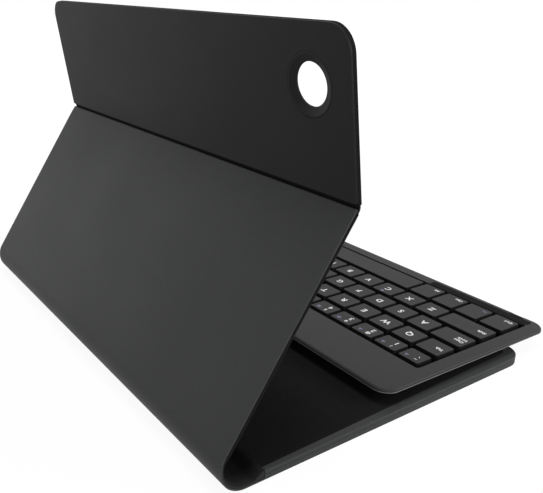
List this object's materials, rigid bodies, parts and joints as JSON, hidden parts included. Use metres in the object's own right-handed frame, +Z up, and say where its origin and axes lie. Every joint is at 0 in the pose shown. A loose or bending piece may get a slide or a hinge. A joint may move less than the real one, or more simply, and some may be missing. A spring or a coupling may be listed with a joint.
{
  "type": "tablet keyboard case",
  "caption": "Folding tablet case that stands as an easel: leather-look cover panels with a soft spine and crease, and a slim sliding keyboard with travelling keys.",
  "frame": {"origin": "on the floor under the middle of the standing case, as opened for typing", "axes": "+X to the user's right along the long side, the user at -Y, +Z up"},
  "size_m": [0.2524, 0.2069, 0.166],
  "materials": {
    "upper_panel_skin": "smooth coated leather-look",
    "cover_skin": "fine-grained coated leather-look",
    "cover_lining": "short microfibre nap",
    "stiffening_board": "pressed board",
    "steel": "bare sheet",
    "magnet": "nickel plated",
    "crease_cord": "matte",
    "camera_bezel": "satin",
    "grip_pad": "tacky matte",
    "keyboard_case": "satin, fine texture",
    "keyboard_cover": "matte, fine texture",
    "key_cap": "matte",
    "membrane_film": "film",
    "dome_rubber": "silicone",
    "battery_foil": "foil pouch",
    "circuit_board": "solder mask",
    "socket_shell": "stamped",
    "light_lens": "clear",
    "switch_plastic": "moulded",
    "foot_rubber": "matte"
  },
  "bodies": {
    "base": {"base_skin": "cover_skin", "base_board": "stiffening_board", "base_lining": "cover_lining", "base_steel_plate": "steel", "base_closing_magnets": "magnet", "spine_skin": "cover_skin", "spine_lining": "cover_lining"},
    "stand": {"stand_skin": "cover_skin", "stand_board": "stiffening_board", "stand_lining": "cover_lining", "crease_cord": "crease_cord"},
    "upper": {"upper_skin": "upper_panel_skin", "upper_board": "stiffening_board", "upper_lining": "cover_lining", "camera_bezel": "camera_bezel", "grip_pad": "grip_pad", "upper_closing_magnets": "magnet"},
    "keyboard": {"keyboard_top_case": "keyboard_case", "keyboard_bottom_cover": "keyboard_cover", "key_support_plate": "steel", "key_membrane": "membrane_film", "rubber_domes": "dome_rubber", "battery_cell": "battery_foil", "controller_board": "circuit_board", "membrane_tail": "membrane_film", "charging_socket": "socket_shell", "status_light_lenses": "light_lens", "switch_body": "switch_plastic", "cover_screws": "steel", "keyboard_magnets": "magnet", "front_feet": "foot_rubber", "rear_feet": "foot_rubber"},
    "power_slider": {"switch_slider": "switch_plastic"},
    "key_ctrl": {"key_ctrl": "key_cap"},
    "key_fn": {"key_fn": "key_cap"},
    "key_option": {"key_option": "key_cap"},
    "key_alt": {"key_alt": "key_cap"},
    "key_space": {"key_space": "key_cap"},
    "key_shift": {"key_shift": "key_cap"},
    "key_z": {"key_z": "key_cap"},
    "key_x": {"key_x": "key_cap"},
    "key_c": {"key_c": "key_cap"},
    "key_caps": {"key_caps": "key_cap"},
    "key_a": {"key_a": "key_cap"},
    "key_s": {"key_s": "key_cap"},
    "key_d": {"key_d": "key_cap"},
    "key_tab": {"key_tab": "key_cap"},
    "key_q": {"key_q": "key_cap"},
    "key_w": {"key_w": "key_cap"},
    "key_grave": {"key_grave": "key_cap"},
    "key_1": {"key_1": "key_cap"},
    "keys_bottom_row": {"keys_bottom_row": "key_cap"},
    "keys_lower_row": {"keys_lower_row": "key_cap"},
    "keys_home_row": {"keys_home_row": "key_cap"},
    "keys_upper_row": {"keys_upper_row": "key_cap"},
    "keys_number_row": {"keys_number_row": "key_cap"}
  },
  "joints": [
    {"name": "spine_fold", "type": "hinge", "parent": "base", "child": "stand", "pos_m": [0, 0.0917, 0.0117], "axis": [1, 0, 0], "range_deg": [-90, 56.2], "deforming": ["spine_skin", "spine_lining"]},
    {"name": "crease_fold", "type": "hinge", "parent": "stand", "child": "upper", "pos_m": [0, 0.04373, 0.10152], "axis": [1, 0, 0], "range_deg": [-30, 42.65]},
    {"name": "keyboard_slide", "type": "slide", "parent": "base", "child": "keyboard", "axis": [0, 1, 0], "range_m": [0, 0.0237]},
    {"name": "power_slide", "type": "slide", "parent": "keyboard", "child": "power_slider", "axis": [1, 0, 0], "range_m": [0, 0.0025]},
    {"name": "key_ctrl_press", "type": "slide", "parent": "keyboard", "child": "key_ctrl", "axis": [0, 0.0175, -0.9998], "range_m": [0, 0.0013], "stiffness_N_per_m": 80, "deforming": ["rubber_domes"]},
    {"name": "key_fn_press", "type": "slide", "parent": "keyboard", "child": "key_fn", "axis": [0, 0.0175, -0.9998], "range_m": [0, 0.0013], "stiffness_N_per_m": 80, "deforming": ["rubber_domes"]},
    {"name": "key_option_press", "type": "slide", "parent": "keyboard", "child": "key_option", "axis": [0, 0.0175, -0.9998], "range_m": [0, 0.0013], "stiffness_N_per_m": 80, "deforming": ["rubber_domes"]},
    {"name": "key_alt_press", "type": "slide", "parent": "keyboard", "child": "key_alt", "axis": [0, 0.0175, -0.9998], "range_m": [0, 0.0013], "stiffness_N_per_m": 80, "deforming": ["rubber_domes"]},
    {"name": "key_space_press", "type": "slide", "parent": "keyboard", "child": "key_space", "axis": [0, 0.0175, -0.9998], "range_m": [0, 0.0013], "stiffness_N_per_m": 150, "deforming": ["rubber_domes"]},
    {"name": "key_shift_press", "type": "slide", "parent": "keyboard", "child": "key_shift", "axis": [0, 0.0175, -0.9998], "range_m": [0, 0.0013], "stiffness_N_per_m": 80, "deforming": ["rubber_domes"]},
    {"name": "key_z_press", "type": "slide", "parent": "keyboard", "child": "key_z", "axis": [0, 0.0175, -0.9998], "range_m": [0, 0.0013], "stiffness_N_per_m": 80, "deforming": ["rubber_domes"]},
    {"name": "key_x_press", "type": "slide", "parent": "keyboard", "child": "key_x", "axis": [0, 0.0175, -0.9998], "range_m": [0, 0.0013], "stiffness_N_per_m": 80, "deforming": ["rubber_domes"]},
    {"name": "key_c_press", "type": "slide", "parent": "keyboard", "child": "key_c", "axis": [0, 0.0175, -0.9998], "range_m": [0, 0.0013], "stiffness_N_per_m": 80, "deforming": ["rubber_domes"]},
    {"name": "key_caps_press", "type": "slide", "parent": "keyboard", "child": "key_caps", "axis": [0, 0.0175, -0.9998], "range_m": [0, 0.0013], "stiffness_N_per_m": 80, "deforming": ["rubber_domes"]},
    {"name": "key_a_press", "type": "slide", "parent": "keyboard", "child": "key_a", "axis": [0, 0.0175, -0.9998], "range_m": [0, 0.0013], "stiffness_N_per_m": 80, "deforming": ["rubber_domes"]},
    {"name": "key_s_press", "type": "slide", "parent": "keyboard", "child": "key_s", "axis": [0, 0.0175, -0.9998], "range_m": [0, 0.0013], "stiffness_N_per_m": 80, "deforming": ["rubber_domes"]},
    {"name": "key_d_press", "type": "slide", "parent": "keyboard", "child": "key_d", "axis": [0, 0.0175, -0.9998], "range_m": [0, 0.0013], "stiffness_N_per_m": 80, "deforming": ["rubber_domes"]},
    {"name": "key_tab_press", "type": "slide", "parent": "keyboard", "child": "key_tab", "axis": [0, 0.0175, -0.9998], "range_m": [0, 0.0013], "stiffness_N_per_m": 80, "deforming": ["rubber_domes"]},
    {"name": "key_q_press", "type": "slide", "parent": "keyboard", "child": "key_q", "axis": [0, 0.0175, -0.9998], "range_m": [0, 0.0013], "stiffness_N_per_m": 80, "deforming": ["rubber_domes"]},
    {"name": "key_w_press", "type": "slide", "parent": "keyboard", "child": "key_w", "axis": [0, 0.0175, -0.9998], "range_m": [0, 0.0013], "stiffness_N_per_m": 80, "deforming": ["rubber_domes"]},
    {"name": "key_grave_press", "type": "slide", "parent": "keyboard", "child": "key_grave", "axis": [0, 0.0175, -0.9998], "range_m": [0, 0.0013], "stiffness_N_per_m": 80, "deforming": ["rubber_domes"]},
    {"name": "key_1_press", "type": "slide", "parent": "keyboard", "child": "key_1", "axis": [0, 0.0175, -0.9998], "range_m": [0, 0.0013], "stiffness_N_per_m": 80, "deforming": ["rubber_domes"]},
    {"name": "keys_bottom_row_press", "type": "slide", "parent": "keyboard", "child": "keys_bottom_row", "axis": [0, 0.0175, -0.9998], "range_m": [0, 0.0013], "stiffness_N_per_m": 200, "deforming": ["rubber_domes"]},
    {"name": "keys_lower_row_press", "type": "slide", "parent": "keyboard", "child": "keys_lower_row", "axis": [0, 0.0175, -0.9998], "range_m": [0, 0.0013], "stiffness_N_per_m": 200, "deforming": ["rubber_domes"]},
    {"name": "keys_home_row_press", "type": "slide", "parent": "keyboard", "child": "keys_home_row", "axis": [0, 0.0175, -0.9998], "range_m": [0, 0.0013], "stiffness_N_per_m": 200, "deforming": ["rubber_domes"]},
    {"name": "keys_upper_row_press", "type": "slide", "parent": "keyboard", "child": "keys_upper_row", "axis": [0, 0.0175, -0.9998], "range_m": [0, 0.0013], "stiffness_N_per_m": 200, "deforming": ["rubber_domes"]},
    {"name": "keys_number_row_press", "type": "slide", "parent": "keyboard", "child": "keys_number_row", "axis": [0, 0.0175, -0.9998], "range_m": [0, 0.0013], "stiffness_N_per_m": 200, "deforming": ["rubber_domes"]}
  ]
}
